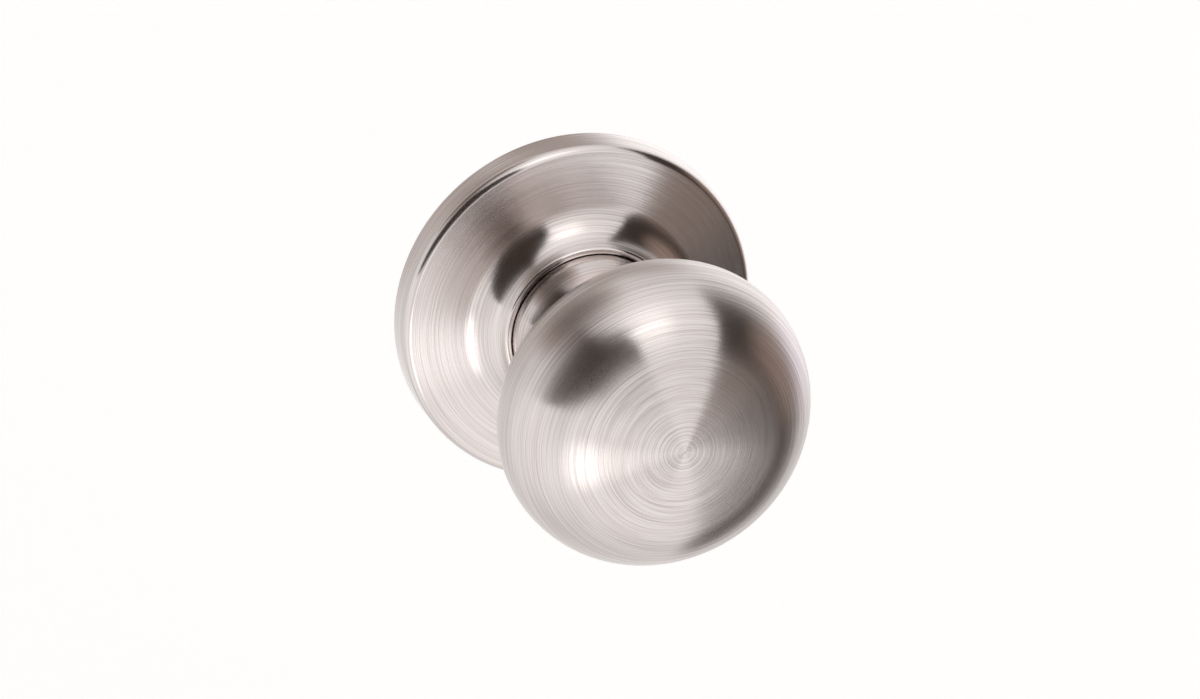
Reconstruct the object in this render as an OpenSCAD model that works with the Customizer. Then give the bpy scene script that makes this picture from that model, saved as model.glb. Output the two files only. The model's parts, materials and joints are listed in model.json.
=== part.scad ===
// Round door knob on a round rose: the spindle half of a keyless passage set.
// The knob turns about the Y axis. The door's face is the plane y = 0: the knob stands out
// towards -Y, and the spring housing, the posts and the spindle go into the door towards +Y.
// Every part is drawn with its axis along Z, z = 0 on the door's face and +z out of the door,
// and on_door() turns it into place. All sizes are in millimetres.

/* [Rose] */
// Outside diameter of the rose where it meets the door
rose_d = 66; // [64:0.5:72]
// Height of the rose's side wall
rose_wall_h = 4.9; // [4:0.1:6]
// How far the side wall leans in over its height
rose_draft = 0.3; // [0.2:0.1:0.8]
// Radius of the rose's front edge
rose_edge_r = 1.5; // [1.2:0.1:2]
// Slope of the rose's face, in degrees
rose_face_slope = 8; // [6:1:9]
// Radius of the hollow sweep from the face up to the collar
rose_sweep_r = 8; // [7.5:0.1:8.5]
// Height of the collar round the neck
collar_h = 13; // [12.5:0.1:13.5]
// Thickness of the rose's metal
rose_skin = 1; // [0.8:0.1:1.1]

/* [Knob] */
// Diameter of the knob across its widest circle
knob_d = 55.7; // [54:0.1:60]
// Height of the widest circle above the door
knob_mid_h = 47.5; // [46:0.1:50]
// Depth of the knob in front of its widest circle
knob_front_depth = 16.4; // [16.2:0.1:17.5]
// Radius of the front shoulder
knob_front_shoulder = 14.8; // [14:0.1:15.2]
// Depth of the knob behind its widest circle
knob_back_depth = 13.9; // [13:0.1:14.5]
// Radius of the back shoulder
knob_back_shoulder = 9; // [8:0.1:10]
// Thickness of the knob's metal
knob_skin = 1; // [0.8:0.1:1.2]
// Radius of the neck where it enters the rose
neck_base_r = 14.8; // [14.4:0.1:14.8]
// Radius of the neck at its waist
neck_waist_r = 13.4; // [13.3:0.1:13.8]
// Radius of the neck where it meets the knob
neck_top_r = 15.4; // [15:0.1:16]

/* [Mechanism] */
// Radius of the spring housing, which sits in a 54 mm hole through the door
housing_r = 26.5; // [26:0.1:26.8]
// Depth of the spring housing behind the door's face
housing_depth = 10; // [10:0.5:12]
// Distance of each mounting post from the knob's axis
post_offset = 19; // [18.5:0.1:19.5]
// Length of the mounting posts behind the door's face
post_reach = 24; // [22:0.5:30]
// Radius of the bare hole for the mounting screw's thread
post_hole_r = 1.7; // [1.6:0.05:2]
// Width of the square spindle across its flats
spindle_w = 7; // [6:0.1:7]
// Length of the spindle behind the door's face
spindle_reach = 50; // [40:1:60]
// How far the knob turns each way, in degrees
turn_limit = 60; // [45:5:60]
// How far the catch travels
catch_travel = 1.9; // [1.9:0.1:2.2]

/* [Hidden] */
$fn = 96;
eps = 0.01;
far = 100;

// Colours
satin_nickel = [0.74, 0.71, 0.69];
zinc = [0.62, 0.63, 0.65];
steel = [0.55, 0.56, 0.58];
spring_steel = [0.35, 0.36, 0.4];
bronze = [0.72, 0.55, 0.34];

// Rose outline: the wall leans by wall_a, and the face slopes by rose_face_slope
rose_r = rose_d / 2;
wall_a = atan(rose_draft / rose_wall_h);
edge_c = [rose_r - rose_draft - rose_edge_r * cos(wall_a), rose_wall_h - rose_edge_r * sin(wall_a)];
face_n = [sin(rose_face_slope), cos(rose_face_slope)];
wall_n = [cos(wall_a), sin(wall_a)];
sweep_c_r = 23.6;
face_start = edge_c + rose_edge_r * face_n;
face_z_at_sweep = face_start[1] + (face_start[0] - sweep_c_r) * tan(rose_face_slope);
sweep_c = [sweep_c_r, face_z_at_sweep + rose_sweep_r / cos(rose_face_slope)];
neck_gap = 0.2;
collar_hole_r = neck_base_r + neck_gap;

// Liner: a dished plate under the rose, with its middle raised to locate the spring housing
liner_t = 1.6;
liner_r = rose_r - rose_skin - rose_draft;
liner_rim_h = 3.4;
liner_rim_w = 1.2;
liner_step = 0.6;
liner_seat_gap = 0.1;
liner_lap = 1.2;
liner_front = liner_step + liner_t;

// Sleeve, spindle and bearing
running_gap = 0.05;
sleeve_r = 8;
sleeve_bore_r = 5.3;
sleeve_back = -8.6;
sleeve_front = 30;
bush_wall = 1.45;
bush_r = sleeve_r + running_gap + bush_wall;
bush_front = 8;
bush_flange_r = 12.5;
bush_flange_t = 1.4;
spindle_front = 18;
spindle_chamfer = 0.6;
cross_pin_r = 1.25;
cross_pin_z = 4;
cross_pin_len = 15.2;

// Washers between the bearing and the neck
washer_bore_r = 8.2;
washer_r = 11.6;
thrust_t = 0.8;
wave_t = 0.35;
wave_height = 0.25;
wave_count = 3;
wave_steps = 48;
wave_mid_h = 0.55;
wave_z = bush_front + thrust_t + wave_mid_h;

// Neck: a hollow waist between two plain ends
neck_clearance = 1.6;
neck_back = bush_front + neck_clearance;
neck_bore_r = 12.2;
neck_top_drop = 10.2;
neck_top_z = knob_mid_h - neck_top_drop;
waist_z = 23;
waist_half = 9;
waist_in = neck_top_r - neck_waist_r;
waist_arc_r = (waist_half * waist_half + waist_in * waist_in) / (2 * waist_in);
insert_clearance = 2;
insert_back = bush_front + insert_clearance;
insert_front = 31.5;
insert_lip = 1.5;

// Knob shells: two tangent arcs in front of the widest circle and two behind it
knob_r = knob_d / 2;
seam_drop = 6.1;
seam_z = knob_mid_h - seam_drop;
stiffener_drop = 6.4;
stiffener_z = knob_mid_h - stiffener_drop;
stiffener_t = 1.2;
stiffener_hub_t = 1;
stiffener_gap = 0.1;
inner_shoulder = knob_back_shoulder - knob_skin;
stiffener_r = knob_r - knob_back_shoulder - stiffener_gap
    + sqrt(inner_shoulder * inner_shoulder - stiffener_drop * stiffener_drop);

// Spring housing
web_t = 1.5;
chamber_r = 15.9;
chamber_wall = 1.5;
housing_wall = 1.8;
housing_register = 0.5;
pocket_floor = 2;
lug_lap = 0.5;
post_r = 3.4;
post_boss_r = 5;
post_foot_z = -2;
post_thread_len = 12;
cover_t = 1.2;
cover_rim_gap = 0.4;
cover_hole_r = 6.5;
cover_screw_offset = 21;
cover_screw_boss_r = 3;
cover_screw_r = 1.1;
cover_screw_head_r = 2.3;
cover_screw_head_h = 1.4;
cover_screw_len = 6;
cover_screw_tip_gap = 0.5;
cover_screw_slot_w = 0.6;
cover_screw_slot_len = 2.8;
cover_screw_slot_depth = 0.8;
rivet_ring_r = 21;
rivet_r = 1.2;
rivet_head_r = 2.1;
rivet_head_h = 0.7;

// Cam, its finger, and the lugs that hold and stop it
cam_front = -2;
cam_t = 2.2;
cam_r = 10.4;
finger_half_w = 2.2;
finger_in = 13.2;
finger_out = 15.2;
finger_back = -7.2;
lug_front = -7.4;
stop_gap = 0.15;
stop_w = 2.2;
ring_front = -4.4;
ring_t = 1;
ring_in = 7.05;
ring_out = 9.8;
ring_mouth = 7;

// Return spring: a coil with two legs that hold the finger between them
spring_wire_r = 0.6;
spring_coil_r = 11.8;
spring_leg_r = 14.2;
spring_leg_a = 12;
spring_back = -9.2;
spring_front = -5.4;
spring_turns = 3;
spring_steps = 24;
wire_sides = 8;

// Catch: a flanged pin across the sleeve, pushed outwards by a small coil
catch_z = 24;
catch_r = 2;
catch_land = 0.1;
catch_tip = sleeve_r + catch_travel - catch_land;
catch_flange_r = 2.8;
catch_flange_at = 4.2;
catch_flange_t = 1;
access_r = 1.6;
catch_coil_r = 1.7;
catch_wire_r = 0.22;
catch_coil_turns = 7;
catch_coil_steps = 14;
catch_coil_top = 4.5;

// Turns a part drawn about Z so that its +z end points along -Y
module on_door() {
    rotate([90, 0, 0]) children();
}

// A flat ring or disc between two heights
module ring(outer, inner, low, high) {
    translate([0, 0, low])
        difference() {
            cylinder(r = outer, h = high - low);
            if (inner > 0) translate([0, 0, -eps]) cylinder(r = inner, h = high - low + 2 * eps);
        }
}

// Closed skin over a list of rings that have the same number of points
module skin(rings, closed) {
    count = len(rings);
    sides = len(rings[0]);
    last = closed ? count - 1 : count - 2;
    walls = [
        for (i = [0:last]) for (j = [0:sides - 1])
            let (a = i * sides, b = ((i + 1) % count) * sides, k = (j + 1) % sides)
                [a + j, a + k, b + k, b + j]
    ];
    caps = closed ? [] : [
        [for (j = [sides - 1:-1:0]) j],
        [for (j = [0:sides - 1]) (count - 1) * sides + j]
    ];
    polyhedron(points = [for (r = rings) for (p = r) p], faces = concat(walls, caps), convexity = 6);
}

function unit(v) = v / norm(v);
function polar(r, a, z) = [r * cos(a), r * sin(a), z];

// Points round a wire at each place of a path; a path entry is [place, a direction across it]
function wire_rings(path, r) = [
    for (i = [0:len(path) - 1])
        let (
            ahead = path[min(i + 1, len(path) - 1)][0],
            behind = path[max(i - 1, 0)][0],
            along = unit(ahead - behind),
            side = unit(cross(along, path[i][1])),
            up = cross(side, along)
        )
        [for (j = [0:wire_sides - 1])
            let (a = 360 * j / wire_sides) path[i][0] + r * (up * cos(a) + side * sin(a))]
];

// ---- Rose ----

// Half section of the solid under the rose's surface, moved in by "inset"
module rose_half_section(inset) {
    wall_foot = [rose_r - inset, 0];
    edge_low = edge_c + (rose_edge_r - inset) * wall_n;
    edge_high = edge_c + (rose_edge_r - inset) * face_n;
    arc_r = rose_sweep_r + inset;
    face_end = sweep_c - arc_r * face_n;
    top_z = collar_h - inset;
    drop = sweep_c[1] - top_z;
    top_r = sweep_c[0] - sqrt(arc_r * arc_r - drop * drop);
    polygon([[0, 0], wall_foot, edge_low, edge_c, edge_high, face_end, [0, face_end[1]]]);
    translate(edge_c) circle(r = rose_edge_r - inset);
    difference() {
        polygon([[0, 0], [face_end[0], 0], face_end, sweep_c, [top_r, top_z], [0, top_z]]);
        translate(sweep_c) circle(r = arc_r);
    }
}

module rose() {
    color(satin_nickel) on_door()
        rotate_extrude()
            difference() {
                rose_half_section(0);
                translate([0, -eps]) rose_half_section(rose_skin);
                translate([-eps, -eps]) square([collar_hole_r + eps, collar_h + 2 * eps]);
            }
}

module at_rivets() {
    for (a = [45:90:315]) rotate(a) translate([rivet_ring_r, 0, 0]) children();
}

module rose_liner() {
    color(steel) on_door() {
        difference() {
            union() {
                ring(liner_r, housing_r + liner_seat_gap, 0, liner_t);
                ring(housing_r + liner_lap, bush_r, liner_step, liner_front);
            }
            at_rivets() cylinder(r = rivet_r, h = liner_front + eps);
        }
        ring(liner_r, liner_r - liner_rim_w, liner_t - eps, liner_rim_h);
    }
}

module liner_rivets() {
    color(steel) on_door()
        at_rivets() {
            translate([0, 0, -pocket_floor]) cylinder(r = rivet_r, h = pocket_floor + liner_front);
            translate([0, 0, liner_front]) cylinder(r1 = rivet_head_r, r2 = rivet_r, h = rivet_head_h);
            translate([0, 0, -pocket_floor - rivet_head_h])
                cylinder(r1 = rivet_r, r2 = rivet_head_r, h = rivet_head_h);
        }
}

// ---- Spring housing and what it holds ----

module at_posts() {
    for (x = [-post_offset, post_offset]) translate([x, 0, 0]) children();
}

module at_cover_screws() {
    for (y = [-cover_screw_offset, cover_screw_offset]) translate([0, y, 0]) children();
}

// A block between two radii, with one face "from" to one side of the radius at angle a
module lug(a, from, width, low, high) {
    rotate(a) translate([from, finger_in, low]) cube([width, chamber_r + lug_lap - finger_in, high - low]);
}

module housing_body() {
    ring(housing_r, bush_r, -web_t, 0);
    ring(housing_r - housing_register, bush_r, -eps, liner_step);
    ring(housing_r, chamber_r, -pocket_floor, -web_t + eps);
    ring(housing_r, housing_r - housing_wall, -housing_depth, -pocket_floor + eps);
    ring(chamber_r + chamber_wall, chamber_r, -housing_depth, -pocket_floor + eps);
    at_posts() translate([0, 0, -housing_depth]) cylinder(r = post_boss_r, h = housing_depth - web_t + eps);
    at_cover_screws()
        translate([0, 0, -housing_depth]) cylinder(r = cover_screw_boss_r, h = housing_depth - web_t + eps);
    lug(0, -finger_half_w, 2 * finger_half_w, -housing_depth, lug_front);
    lug(-turn_limit, finger_half_w + stop_gap, stop_w, finger_back, -web_t + eps);
    lug(turn_limit, -finger_half_w - stop_gap - stop_w, stop_w, finger_back, -web_t + eps);
}

module spring_housing() {
    color(zinc) on_door()
        difference() {
            housing_body();
            at_posts()
                translate([0, 0, -housing_depth - eps])
                    cylinder(r = post_r, h = housing_depth + post_foot_z + eps);
            at_cover_screws()
                translate([0, 0, -housing_depth - eps])
                    cylinder(r = cover_screw_r, h = cover_screw_len + eps);
            at_rivets()
                translate([0, 0, -pocket_floor - eps])
                    cylinder(r = rivet_r, h = pocket_floor + liner_step + 2 * eps);
        }
}

module bearing_bush() {
    color(bronze) on_door() {
        ring(bush_r, sleeve_r + running_gap, -web_t, bush_front);
        ring(bush_flange_r, bush_r - eps, liner_front, liner_front + bush_flange_t);
    }
}

module thrust_washer() {
    color(steel) on_door() ring(washer_r, washer_bore_r, bush_front, bush_front + thrust_t);
}

module wave_washer() {
    rings = [
        for (i = [0:wave_steps - 1])
            let (a = 360 * i / wave_steps, z = wave_z + wave_height * cos(wave_count * a), h = wave_t / 2)
                [
                    polar(washer_bore_r, a, z - h), polar(washer_bore_r, a, z + h),
                    polar(washer_r, a, z + h), polar(washer_r, a, z - h)
                ]
    ];
    color(spring_steel) on_door() skin(rings, true);
}

// Path of the return spring: a leg, the coil, and the other leg
function spring_path() =
    let (
        start = 90 + spring_leg_a,
        sweep = 360 * spring_turns - 2 * spring_leg_a,
        steps = spring_turns * spring_steps,
        end = start + sweep,
        first = [polar(1, start, 0), polar(spring_leg_r, start, 0)],
        second = [polar(1, end, 0), polar(spring_leg_r, end, 0)],
        rise = [0, 0, 1]
    )
    concat(
        [[first[1] + spring_front * rise, first[0]]],
        [[first[1] + spring_back * rise, first[0] + rise]],
        [for (i = [0:steps])
            let (a = start + sweep * i / steps, z = spring_back + (spring_front - spring_back) * i / steps)
                [polar(spring_coil_r, a, z), rise]],
        [[second[1] + spring_front * rise, rise - second[0]]],
        [[second[1] + spring_back * rise, -second[0]]]
    );

module return_spring() {
    color(spring_steel) on_door() skin(wire_rings(spring_path(), spring_wire_r), false);
}

module spring_cover() {
    color(steel) on_door()
        difference() {
            ring(housing_r - cover_rim_gap, cover_hole_r, -housing_depth - cover_t, -housing_depth);
            at_posts()
                translate([0, 0, -housing_depth - cover_t - eps]) cylinder(r = post_r, h = cover_t + 2 * eps);
            at_cover_screws()
                translate([0, 0, -housing_depth - cover_t - eps])
                    cylinder(r = cover_screw_r, h = cover_t + 2 * eps);
        }
}

module cover_screws() {
    head_back = -housing_depth - cover_t - cover_screw_head_h;
    slot_w = cover_screw_slot_w;
    slot_len = cover_screw_slot_len;
    color(steel) on_door()
        at_cover_screws() {
            translate([0, 0, head_back + cover_screw_head_h - eps])
                cylinder(r = cover_screw_r, h = cover_t + cover_screw_len - cover_screw_tip_gap);
            difference() {
                translate([0, 0, head_back]) cylinder(r = cover_screw_head_r, h = cover_screw_head_h);
                for (a = [0, 90])
                    rotate(a) translate([-slot_len / 2, -slot_w / 2, head_back - eps])
                        cube([slot_len, slot_w, cover_screw_slot_depth]);
            }
        }
}

// A mounting post, threaded from its back end
module post() {
    back = -post_reach;
    color(steel) on_door()
        difference() {
            translate([0, 0, back]) cylinder(r = post_r, h = post_reach + post_foot_z);
            translate([0, 0, back - eps]) cylinder(r = post_hole_r, h = post_thread_len + eps);
        }
}

module post_left() {
    translate([-post_offset, 0, 0]) post();
}

module post_right() {
    translate([post_offset, 0, 0]) post();
}

// ---- Knob ----

// Half section of one side of the knob from its widest circle at y = 0, moved in by "inset":
// a shoulder arc, and a dome arc centred on the axis that meets it tangentially
module knob_side_section(depth, shoulder, inset) {
    shoulder_c = knob_r - shoulder;
    dome_r = (depth * depth + shoulder_c * shoulder_c - shoulder * shoulder) / (2 * (depth - shoulder));
    meet = [shoulder_c, dome_r - depth] * dome_r / (dome_r - shoulder) - [0, dome_r - depth];
    meet_far = meet + ([shoulder_c, 0] - meet) * -0.5;
    intersection() {
        polygon([[0, 0], [shoulder_c, 0], meet_far, [0, 2 * depth]]);
        translate([0, depth - dome_r]) circle(r = dome_r - inset);
    }
    intersection() {
        translate([shoulder_c, 0]) circle(r = shoulder - inset);
        square([far, far]);
    }
}

module knob_half_section(inset) {
    translate([0, knob_mid_h]) {
        knob_side_section(knob_front_depth, knob_front_shoulder, inset);
        mirror([0, 1]) knob_side_section(knob_back_depth, knob_back_shoulder, inset);
    }
}

// The knob's hollow wall between two heights, open inside radius "hole"
module knob_wall(low, high, hole) {
    rotate_extrude()
        intersection() {
            difference() {
                knob_half_section(0);
                knob_half_section(knob_skin);
            }
            translate([hole, low]) square([far, high - low]);
        }
}

module knob_front_shell() {
    color(satin_nickel) on_door() knob_wall(seam_z, far, 0);
}

module knob_back_shell() {
    color(satin_nickel) on_door() knob_wall(0, seam_z, neck_top_r);
}

module knob_stiffener() {
    color(steel) on_door() {
        ring(stiffener_r, neck_bore_r, stiffener_z, stiffener_z + stiffener_t);
        ring(neck_bore_r + stiffener_hub_t, neck_bore_r, neck_top_z, stiffener_z + eps);
    }
}

module knob_neck() {
    color(satin_nickel) on_door()
        difference() {
            rotate_extrude()
                difference() {
                    union() {
                        translate([neck_bore_r, neck_back])
                            square([neck_base_r - neck_bore_r, waist_z - neck_back]);
                        translate([neck_bore_r, waist_z])
                            square([neck_top_r - neck_bore_r, neck_top_z - waist_z]);
                    }
                    translate([neck_waist_r + waist_arc_r, waist_z]) circle(r = waist_arc_r);
                }
            translate([0, 0, catch_z]) rotate([90, 0, 0]) cylinder(r = access_r, h = far);
        }
}

module neck_insert() {
    color(zinc) on_door()
        difference() {
            union() {
                ring(neck_bore_r, sleeve_r, insert_back, insert_front);
                ring(neck_bore_r, neck_bore_r - insert_lip, insert_front - eps, neck_top_z);
            }
            translate([0, 0, catch_z]) rotate([90, 0, 0]) cylinder(r = catch_r + running_gap, h = far);
        }
}

// ---- What the knob turns ----

module cross_pin(r, length) {
    translate([-length / 2, 0, cross_pin_z]) rotate([0, 90, 0]) cylinder(r = r, h = length);
}

module drive_sleeve() {
    color(steel) on_door()
        difference() {
            ring(sleeve_r, sleeve_bore_r, sleeve_back, sleeve_front);
            ring(sleeve_r + 1, ring_in, ring_front - ring_t, ring_front);
            cross_pin(cross_pin_r, far);
            translate([0, 0, catch_z]) rotate([90, 0, 0]) cylinder(r = catch_r + running_gap, h = far);
        }
}

module drive_cam() {
    back = cam_front - cam_t;
    color(spring_steel) on_door() {
        difference() {
            union() {
                translate([0, 0, back]) cylinder(r = cam_r, h = cam_t);
                translate([-finger_half_w, 0, back]) cube([2 * finger_half_w, finger_out, cam_t]);
            }
            translate([0, 0, back - eps]) cylinder(r = sleeve_r, h = cam_t + 2 * eps);
        }
        translate([-finger_half_w, finger_in, finger_back])
            cube([2 * finger_half_w, finger_out - finger_in, back - finger_back + eps]);
    }
}

module retaining_ring() {
    back = ring_front - ring_t;
    color(spring_steel) on_door()
        difference() {
            ring(ring_out, ring_in, back, ring_front);
            translate([-ring_mouth / 2, -far, back - eps]) cube([ring_mouth, far, ring_t + 2 * eps]);
        }
}

module spindle() {
    half = spindle_w / 2;
    cut = half - spindle_chamfer;
    color(steel) on_door()
        difference() {
            translate([0, 0, -spindle_reach])
                linear_extrude(height = spindle_reach + spindle_front)
                    polygon([
                        [cut, -half], [half, -cut], [half, cut], [cut, half],
                        [-cut, half], [-half, cut], [-half, -cut], [-cut, -half]
                    ]);
            cross_pin(cross_pin_r, far);
        }
}

module spindle_pin() {
    color(spring_steel) on_door() cross_pin(cross_pin_r, cross_pin_len);
}

// The catch points down, away from the knob's top
module knob_catch() {
    color(steel) on_door()
        translate([0, 0, catch_z]) rotate([90, 0, 0]) {
            translate([0, 0, catch_flange_at - eps])
                cylinder(r = catch_r, h = catch_tip - catch_flange_at + eps);
            translate([0, 0, catch_flange_at - catch_flange_t])
                cylinder(r = catch_flange_r, h = catch_flange_t);
        }
}

module catch_spring() {
    low = -catch_flange_at + catch_flange_t + catch_wire_r;
    steps = catch_coil_turns * catch_coil_steps;
    path = [
        for (i = [0:steps])
            let (a = 360 * i / catch_coil_steps, y = low + (catch_coil_top - low) * i / steps)
                [[catch_coil_r * sin(a), y, catch_z + catch_coil_r * cos(a)], [0, 1, 0]]
    ];
    color(spring_steel) on_door() skin(wire_rings(path, catch_wire_r), false);
}

rose();
rose_liner();
liner_rivets();
spring_housing();
bearing_bush();
thrust_washer();
wave_washer();
return_spring();
spring_cover();
cover_screws();
post_left();
post_right();
knob_front_shell();
knob_back_shell();
knob_stiffener();
knob_neck();
neck_insert();
drive_sleeve();
drive_cam();
retaining_ring();
spindle();
spindle_pin();
knob_catch();
catch_spring();
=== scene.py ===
import json
import math

import bmesh
import bpy
from mathutils import Matrix, Vector


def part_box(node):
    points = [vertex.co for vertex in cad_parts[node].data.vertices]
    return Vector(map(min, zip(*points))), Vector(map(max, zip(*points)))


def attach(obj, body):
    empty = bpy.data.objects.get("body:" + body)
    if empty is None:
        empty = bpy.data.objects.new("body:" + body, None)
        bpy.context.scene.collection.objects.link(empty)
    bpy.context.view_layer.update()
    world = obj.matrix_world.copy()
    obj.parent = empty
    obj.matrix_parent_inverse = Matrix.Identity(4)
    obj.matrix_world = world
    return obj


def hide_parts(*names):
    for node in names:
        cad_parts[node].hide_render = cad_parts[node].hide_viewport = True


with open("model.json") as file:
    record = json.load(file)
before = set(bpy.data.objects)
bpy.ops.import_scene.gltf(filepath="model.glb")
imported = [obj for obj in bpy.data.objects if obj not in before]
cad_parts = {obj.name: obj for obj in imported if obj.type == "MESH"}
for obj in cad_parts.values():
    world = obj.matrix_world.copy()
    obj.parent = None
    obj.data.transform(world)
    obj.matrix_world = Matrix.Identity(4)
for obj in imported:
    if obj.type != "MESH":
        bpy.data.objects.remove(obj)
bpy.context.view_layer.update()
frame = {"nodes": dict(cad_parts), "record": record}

MM = 0.001
TURN_STEPS = 288


# ---- Outlines: lists of (radius, height above the door's face), both in metres ----

def arc(centre, radius, start, end, steps=24):
    """Points on an arc; angles in degrees from the radial direction towards the height."""
    points = []
    for i in range(steps + 1):
        a = math.radians(start + (end - start) * i / steps)
        points.append((centre[0] + radius * math.cos(a), centre[1] + radius * math.sin(a)))
    return points


def angle_of(centre, point):
    return math.degrees(math.atan2(point[1] - centre[1], point[0] - centre[0]))


def soften(points, corners, size):
    """Rounds the named corners of a closed outline by walking back along it on both sides."""
    rounded = list(points)
    for corner in corners:
        i = min(range(len(rounded)), key=lambda k: math.dist(rounded[k], corner))
        before, after = walk(rounded, i, -1, size), walk(rounded, i, 1, size)
        top = rounded[i]
        curve = []
        for k in range(7):
            t = k / 6
            curve.append(tuple(
                (1 - t) ** 2 * before[1][d] + 2 * t * (1 - t) * top[d] + t * t * after[1][d]
                for d in (0, 1)
            ))
        count = len(rounded)
        kept = []
        k = after[0]
        while k != before[0]:
            kept.append(rounded[k])
            k = (k + 1) % count
        kept.append(rounded[before[0]])
        rounded = kept + curve
    return rounded


def walk(points, start, step, size):
    """The point a given length along the outline, and the index of the next point beyond it."""
    count, here, left = len(points), start, size
    while True:
        ahead = (here + step) % count
        length = math.dist(points[here], points[ahead])
        if length > left:
            t = left / length
            spot = tuple(points[here][d] * (1 - t) + points[ahead][d] * t for d in (0, 1))
            return ahead, spot
        left -= length
        here = ahead


# ---- Meshes ----

def new_object(name, mesh):
    made = bpy.data.objects.new(name, mesh)
    bpy.context.scene.collection.objects.link(made)
    return made


def lathe(name, outline, steps=TURN_STEPS, middle=(0, 0), shape=None):
    """Turns a closed outline about a line along Y into a closed solid with smooth normals.

    "shape" may move each point, given its outline point and its part of a turn.
    """
    grid = bmesh.new()
    rows = []
    for point in outline:
        if point[0] < 1e-7:
            height = shape(point, 0.0)[1] if shape else point[1]
            rows.append([grid.verts.new((middle[0], -height, middle[1]))])
            continue
        ring = []
        for k in range(steps):
            radius, height = shape(point, k / steps) if shape else point
            a = 2 * math.pi * k / steps
            ring.append(grid.verts.new(
                (middle[0] + radius * math.cos(a), -height, middle[1] + radius * math.sin(a))
            ))
        rows.append(ring)
    for i, low in enumerate(rows):
        high = rows[(i + 1) % len(rows)]
        if len(low) == 1 and len(high) == 1:
            continue
        for k in range(steps):
            n = (k + 1) % steps
            if len(low) == 1:
                grid.faces.new((low[0], high[k], high[n]))
            elif len(high) == 1:
                grid.faces.new((low[k], high[0], low[n]))
            else:
                grid.faces.new((low[k], high[k], high[n], low[n]))
    bmesh.ops.recalc_face_normals(grid, faces=grid.faces)
    for face in grid.faces:
        face.smooth = True
    mesh = bpy.data.meshes.new(name)
    grid.to_mesh(mesh)
    grid.free()
    return new_object(name, mesh)


def shade_by_angle(piece, degrees):
    """Keeps edges sharper than an angle crisp."""
    grid = bmesh.new()
    grid.from_mesh(piece.data)
    for edge in grid.edges:
        edge.smooth = edge.calc_face_angle(0) < math.radians(degrees)
    grid.to_mesh(piece.data)
    grid.free()


# ---- Materials ----

class Nodes:
    """Short names for building a node tree."""

    def __init__(self, owner):
        owner.use_nodes = True
        self.tree = owner.node_tree
        self.tree.nodes.clear()

    def add(self, kind, **settings):
        node = self.tree.nodes.new(kind)
        for key, value in settings.items():
            setattr(node, key, value)
        return node

    def link(self, a, b):
        self.tree.links.new(a, b)

    def math(self, operation, a, b=0.0):
        node = self.add("ShaderNodeMath", operation=operation)
        for socket, value in zip(node.inputs, (a, b)):
            if isinstance(value, (int, float)):
                socket.default_value = value
            else:
                self.link(value, socket)
        return node.outputs[0]

    def ramp(self, value, low, high, out_low, out_high):
        node = self.add("ShaderNodeMapRange", clamp=True)
        self.link(value, node.inputs["Value"])
        limits = {"From Min": low, "From Max": high, "To Min": out_low, "To Max": out_high}
        for name, number in limits.items():
            node.inputs[name].default_value = number
        return node.outputs["Result"]

    def mix_colour(self, factor, first, second):
        node = self.add("ShaderNodeMix", data_type="RGBA")
        sockets = [s for s in node.inputs if s.type == "RGBA"]
        if isinstance(factor, (int, float)):
            node.inputs[0].default_value = factor
        else:
            self.link(factor, node.inputs[0])
        for socket, value in zip(sockets, (first, second)):
            if isinstance(value, tuple):
                socket.default_value = (*value, 1)
            else:
                self.link(value, socket)
        return [s for s in node.outputs if s.type == "RGBA"][0]


def turned_coordinates(n):
    """Cosine and sine of the angle round the Y axis, the distance from it and the height."""
    split = n.add("ShaderNodeSeparateXYZ")
    n.link(n.add("ShaderNodeTexCoord").outputs["Object"], split.inputs[0])
    x, y, z = split.outputs
    radius = n.math("SQRT", n.math("ADD", n.math("MULTIPLY", x, x), n.math("MULTIPLY", z, z)))
    safe = n.math("MAXIMUM", radius, 1e-5)
    return n.math("DIVIDE", x, safe), n.math("DIVIDE", z, safe), radius, y


WHOLE_RINGS_R = 2.5 * MM
BROKEN_MARKS_R = 9 * MM


def brush_noise(n, around, pitch, detail, seed, coordinates):
    """Noise drawn out round the axis in marks "pitch" apart; more "around" makes them shorter.

    Close to the axis the marks are whole rings.
    """
    cos_a, sin_a, radius, y = coordinates
    spread = n.ramp(radius, WHOLE_RINGS_R, BROKEN_MARKS_R, 0.0, around)
    joined = n.add("ShaderNodeCombineXYZ")
    n.link(n.math("MULTIPLY", cos_a, spread), joined.inputs[0])
    n.link(n.math("MULTIPLY", sin_a, spread), joined.inputs[1])
    n.link(n.math("ADD", n.math("MULTIPLY", y, 1 / pitch), seed), joined.inputs[2])
    noise = n.add("ShaderNodeTexNoise", noise_dimensions="4D")
    n.link(joined.outputs[0], noise.inputs["Vector"])
    n.link(n.math("MULTIPLY", radius, 1 / pitch), noise.inputs["W"])
    noise.inputs["Scale"].default_value = 1
    noise.inputs["Detail"].default_value = detail
    return noise.outputs["Fac"]


NICKEL_LIGHT = (0.75, 0.70, 0.685)
NICKEL_DARK = (0.58, 0.515, 0.485)
FINE_PITCH = 0.13 * MM
BROAD_PITCH = 0.3 * MM
BROAD_SEED = 7.3
MARK_DEPTH = 0.012 * MM
ROUGHNESS_SPREAD = 0.04


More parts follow.
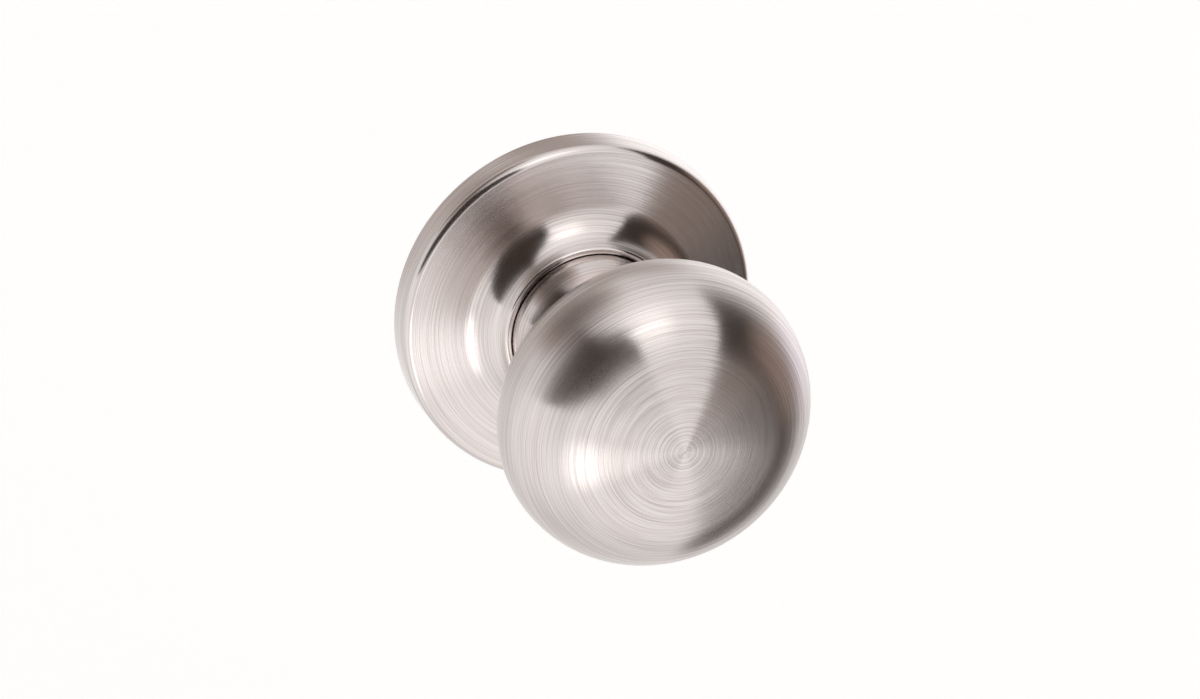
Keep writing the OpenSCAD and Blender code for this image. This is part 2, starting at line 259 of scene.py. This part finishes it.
def satin_nickel(name, roughness):
    """Nickel plate brushed on a lathe: fine lines round the axis and longer, fainter sweeps."""
    material = bpy.data.materials.new(name)
    n = Nodes(material)
    shader = n.add("ShaderNodeBsdfPrincipled")
    output = n.add("ShaderNodeOutputMaterial")
    coordinates = turned_coordinates(n)
    fine = brush_noise(n, 1.3, FINE_PITCH, 2.0, 0.0, coordinates)
    broad = brush_noise(n, 0.4, BROAD_PITCH, 2.0, BROAD_SEED, coordinates)
    blend = n.math("ADD", n.math("MULTIPLY", fine, 0.72), n.math("MULTIPLY", broad, 0.28))
    tone = n.mix_colour(n.ramp(blend, 0.36, 0.58, 0, 1), NICKEL_DARK, NICKEL_LIGHT)
    n.link(tone, shader.inputs["Base Color"])
    gloss = n.ramp(blend, 0.35, 0.65, roughness + ROUGHNESS_SPREAD, roughness - ROUGHNESS_SPREAD)
    n.link(gloss, shader.inputs["Roughness"])
    shader.inputs["Metallic"].default_value = 1.0
    shader.inputs["Anisotropic"].default_value = 1.0
    shader.inputs["Anisotropic Rotation"].default_value = 0.25
    tangent = n.add("ShaderNodeTangent", direction_type="RADIAL", axis="Y")
    n.link(tangent.outputs[0], shader.inputs["Tangent"])
    bump = n.add("ShaderNodeBump")
    bump.inputs["Strength"].default_value = 1.0
    bump.inputs["Distance"].default_value = MARK_DEPTH
    n.link(n.math("ADD", fine, n.math("MULTIPLY", broad, 0.2)), bump.inputs["Height"])
    n.link(bump.outputs[0], shader.inputs["Normal"])
    n.link(shader.outputs[0], output.inputs["Surface"])
    return material


CLOUD_SCALE = 260
GRAIN_DEPTH = 0.03 * MM


def plain_metal(name, light, dark, roughness, grain):
    """Unpolished metal: mottled tone, uneven gloss and a fine grain in the surface."""
    material = bpy.data.materials.new(name)
    n = Nodes(material)
    shader = n.add("ShaderNodeBsdfPrincipled")
    output = n.add("ShaderNodeOutputMaterial")
    place = n.add("ShaderNodeTexCoord").outputs["Object"]
    cloud = n.add("ShaderNodeTexNoise")
    n.link(place, cloud.inputs["Vector"])
    cloud.inputs["Scale"].default_value = CLOUD_SCALE
    cloud.inputs["Detail"].default_value = 4
    pits = n.add("ShaderNodeTexNoise")
    n.link(place, pits.inputs["Vector"])
    pits.inputs["Scale"].default_value = 1 / grain
    pits.inputs["Detail"].default_value = 3
    mottle = cloud.outputs["Fac"]
    n.link(n.mix_colour(n.ramp(mottle, 0.3, 0.7, 0, 1), dark, light), shader.inputs["Base Color"])
    n.link(n.ramp(mottle, 0.3, 0.7, roughness + 0.08, roughness - 0.06), shader.inputs["Roughness"])
    shader.inputs["Metallic"].default_value = 1.0
    bump = n.add("ShaderNodeBump")
    bump.inputs["Strength"].default_value = 0.25
    bump.inputs["Distance"].default_value = GRAIN_DEPTH
    n.link(pits.outputs["Fac"], bump.inputs["Height"])
    n.link(bump.outputs[0], shader.inputs["Normal"])
    n.link(shader.outputs[0], output.inputs["Surface"])
    return material


KNOB_ROUGHNESS = 0.22
ROSE_ROUGHNESS = 0.155
NECK_ROUGHNESS = 0.1

NICKEL = satin_nickel("satin_nickel_brushed", KNOB_ROUGHNESS)
STEEL = plain_metal("plated_steel_mottled", (0.72, 0.73, 0.72), (0.58, 0.59, 0.6), 0.32, 0.25 * MM)
ZINC = plain_metal("cast_zinc_grained", (0.56, 0.57, 0.58), (0.43, 0.44, 0.46), 0.5, 0.4 * MM)
BRONZE = plain_metal("bush_bronze_sintered", (0.72, 0.52, 0.3), (0.5, 0.35, 0.2), 0.42, 0.2 * MM)
BLACK = plain_metal("spring_steel_black", (0.22, 0.23, 0.26), (0.12, 0.125, 0.14), 0.35, 0.2 * MM)
SLOT_MATERIALS = {
    "satin_nickel": NICKEL,
    "plated_steel": STEEL,
    "cast_zinc": ZINC,
    "bush_bronze": BRONZE,
    "spring_steel": BLACK,
}


def dress_node(node, material):
    mesh = frame["nodes"][node].data
    mesh.materials.clear()
    mesh.materials.append(material)


for row in frame["record"]["subparts"]:
    dress_node(row["node"], SLOT_MATERIALS[row["material_slot"]])
dress_node("knob_neck", satin_nickel("satin_nickel_neck", NECK_ROUGHNESS))


def finish_piece(piece, body, *nodes, material=NICKEL, slot="satin_nickel"):
    piece.data.materials.append(material)
    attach(piece, body)
    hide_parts(*nodes)


# ---- Rose: wall, front edge, sloping face, hollow sweep and collar ----

ROSE_LOW, ROSE_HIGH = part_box("rose")
ROSE_R = ROSE_HIGH[0]
COLLAR_H = -ROSE_LOW[1]
ROSE_WALL_H = 4.9 * MM
ROSE_DRAFT = 0.3 * MM
ROSE_EDGE_R = 1.5 * MM
ROSE_SLOPE = 8
ROSE_SWEEP_R = 8 * MM
ROSE_SWEEP_AT = 23.6 * MM
ROSE_SKIN = 1 * MM
COLLAR_HOLE_R = 14.9 * MM


def rose_side(inset):
    """The rose's surface from its back edge to its collar, moved in by "inset"."""
    wall_a = math.degrees(math.atan(ROSE_DRAFT / ROSE_WALL_H))
    slope = math.radians(ROSE_SLOPE)
    edge = (
        ROSE_R - ROSE_DRAFT - ROSE_EDGE_R * math.cos(math.radians(wall_a)),
        ROSE_WALL_H - ROSE_EDGE_R * math.sin(math.radians(wall_a)),
    )
    face_z = edge[1] + ROSE_EDGE_R * math.cos(slope)
    face_r = edge[0] + ROSE_EDGE_R * math.sin(slope)
    sweep_z = face_z + (face_r - ROSE_SWEEP_AT) * math.tan(slope) + ROSE_SWEEP_R / math.cos(slope)
    sweep = (ROSE_SWEEP_AT, sweep_z)
    radius = ROSE_SWEEP_R + inset
    top = COLLAR_H - inset
    end = (ROSE_SWEEP_AT - math.sqrt(radius ** 2 - (sweep_z - top) ** 2), top)
    side = [(ROSE_R - inset, 0.0)]
    side += arc(edge, ROSE_EDGE_R - inset, wall_a, 90 - ROSE_SLOPE, 16)
    sweep_end = angle_of(sweep, end)
    if sweep_end > 0:
        sweep_end -= 360
    side += arc(sweep, radius, -90 - ROSE_SLOPE, sweep_end, 40)
    return side, end


outer, outer_end = rose_side(0)
inner, inner_end = rose_side(ROSE_SKIN)
collar_top = (COLLAR_HOLE_R, COLLAR_H)
outline = outer + [collar_top, (COLLAR_HOLE_R, inner_end[1])] + inner[::-1]
outline = soften(outline, [(ROSE_R, 0)], 0.25 * MM)
outline = soften(outline, [outer_end], 0.45 * MM)
outline = soften(outline, [collar_top], 0.35 * MM)
rose = lathe("rose_brushed", outline)
ROSE_NICKEL = satin_nickel("satin_nickel_rose", ROSE_ROUGHNESS)
finish_piece(rose, "mounting", "rose", material=ROSE_NICKEL)


# ---- Knob: front and back shells that meet at a seam behind the widest circle ----

FRONT_LOW, FRONT_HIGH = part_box("knob_front_shell")
BACK_LOW, BACK_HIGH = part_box("knob_back_shell")
KNOB_R = FRONT_HIGH[0]
KNOB_TIP = -FRONT_LOW[1]
SEAM_H = -FRONT_HIGH[1]
FRONT_DEPTH = 16.4 * MM
FRONT_SHOULDER = 14.8 * MM
BACK_DEPTH = 13.9 * MM
BACK_SHOULDER = 9 * MM
KNOB_MID = KNOB_TIP - FRONT_DEPTH
KNOB_SKIN = 1 * MM
NECK_TOP_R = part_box("knob_neck")[1][0]


def knob_side(depth, shoulder, inset, steps=60):
    """One side of the knob from its widest circle to the axis, as (radius, distance)."""
    shoulder_at = KNOB_R - shoulder
    dome = (depth ** 2 + shoulder_at ** 2 - shoulder ** 2) / (2 * (depth - shoulder))
    meet = math.degrees(math.atan2(dome - depth, shoulder_at))
    side = arc((shoulder_at, 0), shoulder - inset, 0, meet, steps)
    side += arc((0, depth - dome), dome - inset, meet, 90, steps)[1:]
    return side


def knob_wall(inset):
    """The knob's surface from the tip, round the widest circle, to the axis at the back."""
    front = [(r, KNOB_MID + h) for r, h in knob_side(FRONT_DEPTH, FRONT_SHOULDER, inset)]
    back = [(r, KNOB_MID - h) for r, h in knob_side(BACK_DEPTH, BACK_SHOULDER, inset)]
    return front[::-1] + back[1:]


def cut_at_height(side, height):
    """Splits a wall behind the widest circle at a height; both parts share the cut point."""
    for i in range(1, len(side)):
        a, b = side[i - 1], side[i]
        if a[1] >= height > b[1]:
            t = (a[1] - height) / (a[1] - b[1])
            cut = (a[0] + t * (b[0] - a[0]), height)
            return side[:i] + [cut], [cut] + side[i:]


def cut_at_radius(side, radius):
    """Keeps a back wall only outside a radius."""
    for i in range(1, len(side)):
        a, b = side[i - 1], side[i]
        if a[0] >= radius > b[0]:
            t = (a[0] - radius) / (a[0] - b[0])
            return side[:i] + [(radius, a[1] + t * (b[1] - a[1]))]


front_out, back_out = cut_at_height(knob_wall(0), SEAM_H)
front_in, back_in = cut_at_height(knob_wall(KNOB_SKIN), SEAM_H)
outline = soften(front_out + front_in[::-1], [front_out[-1]], 0.16 * MM)
front_shell = lathe("knob_front_brushed", outline)
finish_piece(front_shell, "knob", "knob_front_shell")

back_out, back_in = cut_at_radius(back_out, NECK_TOP_R), cut_at_radius(back_in, NECK_TOP_R)
outline = soften(back_out + back_in[::-1], [back_out[0]], 0.16 * MM)
back_shell = lathe("knob_back_brushed", outline)
finish_piece(back_shell, "knob", "knob_back_shell")


# ---- Mounting posts: chamfered, with a thread cut from the back end ----

POST_BORE_R = 1.7 * MM
POST_BORE_LENGTH = 12 * MM
POST_CHAMFER = 0.5 * MM
THREAD_PITCH = 0.7 * MM
THREAD_DEPTH = 0.28 * MM
THREAD_ROWS = 6


def bore_rows(back, length):
    """Rings up a threaded bore from its mouth: (radius, height, how deep the thread is cut)."""
    rows = [(POST_BORE_R + THREAD_DEPTH + 0.15 * MM, back, 0.0)]
    count = round(length / THREAD_PITCH * THREAD_ROWS)
    for i in range(1, count):
        height = back + length * i / count
        rows.append((POST_BORE_R, height, THREAD_DEPTH * min(1.0, (count - i) / THREAD_ROWS)))
    rows.append((POST_BORE_R, back + length, 0.0))
    return rows


def threaded_post(name, node):
    low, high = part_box(node)
    middle = (low[0] + high[0]) / 2
    radius = (high[0] - low[0]) / 2
    front, back = -low[1], -high[1]
    outline = [(0, front), (radius, front), (radius, back + POST_CHAMFER), (radius - POST_CHAMFER, back)]
    rows = [(r, h, 0.0) for r, h in outline] + bore_rows(back, POST_BORE_LENGTH)
    rows.append((0, back + POST_BORE_LENGTH, 0.0))

    def cut(row, turn):
        radius, height, depth = row
        wave = (height / THREAD_PITCH + turn) % 1.0
        return radius + depth * (1 - abs(2 * wave - 1)), height

    post = lathe(name, rows, 64, (middle, 0), cut)
    shade_by_angle(post, 35)
    finish_piece(post, "mounting", node, material=STEEL, slot="plated_steel")


threaded_post("post_left_threaded", "post_left")
threaded_post("post_right_threaded", "post_right")


# ---- Cover screws: pan heads with a cross recess ----

SCREW_HEAD_R = 2.3 * MM
SCREW_HEAD_H = 1.4 * MM
SCREW_SHANK_R = 1.1 * MM
RECESS_HALF_W = 0.33 * MM
RECESS_HALF_L = 1.35 * MM
RECESS_DEPTH = 0.8 * MM
RECESS_TAPER = 0.12 * MM


def recess_depth(x, z):
    """Depth of a cross recess at a point of the screw's head."""
    def arm(across, along):
        sides = [(RECESS_HALF_W - abs(across)) / RECESS_TAPER, (RECESS_HALF_L - abs(along)) / RECESS_TAPER]
        return max(0.0, min(1.0, *sides))
    return RECESS_DEPTH * max(arm(x, z), arm(z, x))


def pan_screw(name, middle, back, front):
    rows = [(SCREW_HEAD_R * 0.72 * i / 22, back + 0.12 * MM * (i / 22) ** 2) for i in range(23)]
    edge = rows[-1]
    for i in range(1, 9):
        a = math.radians(90 * i / 8)
        rows.append((
            edge[0] + (SCREW_HEAD_R - edge[0]) * math.sin(a),
            edge[1] + (SCREW_HEAD_H * 0.62 - (edge[1] - back)) * (1 - math.cos(a)),
        ))
    rows += [(SCREW_HEAD_R, back + SCREW_HEAD_H), (SCREW_SHANK_R, back + SCREW_HEAD_H)]
    rows += [(SCREW_SHANK_R, front - 0.4 * MM), (SCREW_SHANK_R - 0.4 * MM, front), (0, front)]

    def sink(row, turn):
        radius, height = row
        if height > back + SCREW_HEAD_H / 2 or radius > SCREW_HEAD_R * 0.75:
            return radius, height
        a = 2 * math.pi * turn
        return radius, height + recess_depth(radius * math.cos(a), radius * math.sin(a))

    return lathe(name, rows, 96, middle, sink)


low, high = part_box("cover_screws")
screw_up = high[2] - SCREW_HEAD_R
screw_side = high[0] - SCREW_HEAD_R
for name, sign in (("cover_screw_first", 1), ("cover_screw_second", -1)):
    screw = pan_screw(name, (screw_side * sign, screw_up * sign), -high[1], -low[1])
    shade_by_angle(screw, 30)
    finish_piece(screw, "mounting", "cover_screws", material=STEEL, slot="plated_steel")


# ---- Stage: a pale floor and a tent of soft light ----

FLOOR_Z = -0.30
FLOOR_HALF = 3
FLOOR_GREY = (0.95, 0.95, 0.95, 1)
FLOOR_GLOW = 0.35
floor_mesh = bpy.data.meshes.new("floor")
floor_corners = [(x * FLOOR_HALF, y * FLOOR_HALF, FLOOR_Z) for x, y in ((-1, -1), (1, -1), (1, 1), (-1, 1))]
floor_mesh.from_pydata(floor_corners, [], [(0, 1, 2, 3)])
floor = new_object("floor", floor_mesh)
floor_material = bpy.data.materials.new("floor_pale")
n = Nodes(floor_material)
floor_shader = n.add("ShaderNodeBsdfPrincipled")
floor_shader.inputs["Base Color"].default_value = FLOOR_GREY
floor_shader.inputs["Roughness"].default_value = 0.9
floor_shader.inputs["Emission Color"].default_value = (1, 1, 1, 1)
floor_shader.inputs["Emission Strength"].default_value = FLOOR_GLOW
n.link(floor_shader.outputs[0], n.add("ShaderNodeOutputMaterial").inputs["Surface"])
floor_mesh.materials.append(floor_material)
floor.visible_glossy = False

world = bpy.data.worlds.new("studio")
bpy.context.scene.world = world


def towards(azimuth, elevation):
    """A direction from the knob; azimuth 0 is straight out of the door, positive to the right."""
    a, e = math.radians(azimuth), math.radians(elevation)
    return Vector((math.sin(a) * math.cos(e), -math.cos(a) * math.cos(e), math.sin(e)))


class Tent(Nodes):
    """A white tent round the knob, with dark openings, as brightness by direction."""

    def __init__(self, owner):
        super().__init__(owner)
        self.view = self.add("ShaderNodeTexCoord").outputs["Generated"]

    def along(self, direction):
        node = self.add("ShaderNodeVectorMath", operation="DOT_PRODUCT")
        self.link(self.view, node.inputs[0])
        node.inputs[1].default_value = direction
        return node.outputs["Value"]

    def smooth(self, value, low, high):
        node = self.add("ShaderNodeMapRange", interpolation_type="SMOOTHSTEP")
        self.link(value, node.inputs["Value"])
        node.inputs["From Min"].default_value = low
        node.inputs["From Max"].default_value = high
        return node.outputs["Result"]

    def spot(self, azimuth, elevation, inner, outer):
        """1 inside a circle of the inner angle, fading to 0 at the outer one."""
        value = self.along(towards(azimuth, elevation))
        return self.smooth(value, math.cos(math.radians(outer)), math.cos(math.radians(inner)))

    def panel(self, corners, edges):
        """1 inside a polygon of (azimuth, elevation) corners; "edges" is how soft each edge is."""
        points = [towards(*corner) for corner in corners]
        middle = sum(points, Vector((0, 0, 0))).normalized()
        mask = None
        for i, start in enumerate(points):
            normal = start.cross(points[(i + 1) % len(points)]).normalized()
            if normal.dot(middle) < 0:
                normal.negate()
            inside = self.smooth(self.along(normal), -edges[i], edges[i])
            mask = inside if mask is None else self.math("MULTIPLY", mask, inside)
        return mask


TENT_LEVEL = 0.88
# Azimuth, elevation, the angles where the spot starts and ends fading, and how much it adds
TENT_SPOTS = (
    (0, 56, 0, 50, 0.3),
    (0, -30, 0, 50, 0.3),
    (12, -12, 3, 24, -0.12),
    (150, -25, 0, 55, 0.3),
    (-163, 10, 8, 34, -0.25),
    (166, 30, 4, 24, -0.45),
    (-88, -22, 8, 48, 0.25),
    (135, 8, 5, 35, 0.3),
    (-128, 48, 6, 34, -0.7),
    (6, 50, 1, 17, 0.75),
    (-20, -29, 1, 13, 1.5),
)
# Corners of the dark openings, and how soft the edge after each corner is
LEFT_OPENING = (
    [(-82, 50), (-25, 52), (-6, 38), (3, 12), (-12, 1), (-78, 4)],
    [0.012, 0.012, 0.012, 0.012, 0.03, 0.06],
)
RIGHT_OPENING_TOP = (
    [(67, 60), (33, 10), (20, -10), (18, -25), (40, -30), (97, -36), (99, 0), (118, 54)],
    [0.012, 0.012, 0.012, 0.012, 0.015, 0.1, 0.1, 0.04],
)
RIGHT_OPENING_LOW = (
    [(37, -24), (35, -47), (78, -73), (122, -67), (100, -40), (94, -22)],
    [0.015, 0.02, 0.1, 0.2, 0.2, 0.03],
)
INSIDE_LEVEL = 0.05
INSIDE_SPOTS = ((80, -2, 4, 32, 0.3), (29, -10, 2, 14, 0.2))
LAVENDER_SPOT = (112, -8, 3, 22, 0.3)
TENT_WHITE = (1, 0.99, 0.985)
TENT_DIM = (1, 0.85, 0.78)
INSIDE_BROWN = (1, 0.76, 0.64, 1)
LAVENDER = (0.7, 0.62, 1, 1)


def spots_on(t, level, spots):
    """A level of brightness with spots added to it."""
    for azimuth, elevation, inner, outer, gain in spots:
        level = t.math("ADD", t.math("MULTIPLY", t.spot(azimuth, elevation, inner, outer), gain), level)
    return level


def background(t, colour=None, strength=None):
    node = t.add("ShaderNodeBackground")
    if colour:
        node.inputs["Color"].default_value = colour
    if strength:
        t.link(strength, node.inputs["Strength"])
    return node


def add_shaders(t, first, second):
    node = t.add("ShaderNodeAddShader")
    t.link(first.outputs[0], node.inputs[0])
    t.link(second.outputs[0], node.inputs[1])
    return node


def studio_world(owner):
    """The tent as reflections see it; plain white where the camera looks past the knob."""
    t = Tent(owner)
    tent = spots_on(t, TENT_LEVEL, TENT_SPOTS)
    closed = 1.0
    for opening in (LEFT_OPENING, RIGHT_OPENING_TOP, RIGHT_OPENING_LOW):
        closed = t.math("MULTIPLY", t.math("SUBTRACT", 1.0, t.panel(*opening)), closed)
    white = background(t, strength=t.math("MULTIPLY", tent, closed))
    t.link(t.mix_colour(t.ramp(tent, 0.4, 0.85, 0, 1), TENT_DIM, TENT_WHITE), white.inputs["Color"])
    inside = spots_on(t, INSIDE_LEVEL, INSIDE_SPOTS)
    dark = background(t, INSIDE_BROWN, t.math("MULTIPLY", inside, t.math("SUBTRACT", 1.0, closed)))
    lavender = background(t, LAVENDER, spots_on(t, 0.0, [LAVENDER_SPOT]))
    sky = add_shaders(t, white, add_shaders(t, dark, lavender))
    plain = background(t, (1, 1, 1, 1))
    both = t.add("ShaderNodeMixShader")
    t.link(t.add("ShaderNodeLightPath").outputs["Is Camera Ray"], both.inputs[0])
    t.link(sky.outputs[0], both.inputs[1])
    t.link(plain.outputs[0], both.inputs[2])
    t.link(both.outputs[0], t.add("ShaderNodeOutputWorld").inputs["Surface"])


studio_world(world)


# ---- Camera: it looks down at the knob from the left ----

CAMERA_AZIMUTH = math.radians(-18.18)
CAMERA_ELEVATION = math.radians(25.32)
CAMERA_DISTANCE = 0.8153
CAMERA_RIGHT = 0.00558
CAMERA_DOWN = 0.00858
back = Vector((
    math.sin(CAMERA_AZIMUTH) * math.cos(CAMERA_ELEVATION),
    -math.cos(CAMERA_AZIMUTH) * math.cos(CAMERA_ELEVATION),
    math.sin(CAMERA_ELEVATION),
))
right = Vector((math.cos(CAMERA_AZIMUTH), math.sin(CAMERA_AZIMUTH), 0))
up = back.cross(right)
camera_data = bpy.data.cameras.new("camera")
camera_data.sensor_width = 36
camera_data.lens = 135
camera_data.clip_start = 0.01
camera = bpy.data.objects.new("camera", camera_data)
bpy.context.scene.collection.objects.link(camera)
camera.location = right * CAMERA_RIGHT - up * CAMERA_DOWN + back * CAMERA_DISTANCE
camera.rotation_mode = "QUATERNION"
camera.rotation_quaternion = Matrix((right, up, back)).transposed().to_quaternion()
bpy.context.scene.camera = camera
bpy.context.scene.view_settings.view_transform = "Standard"
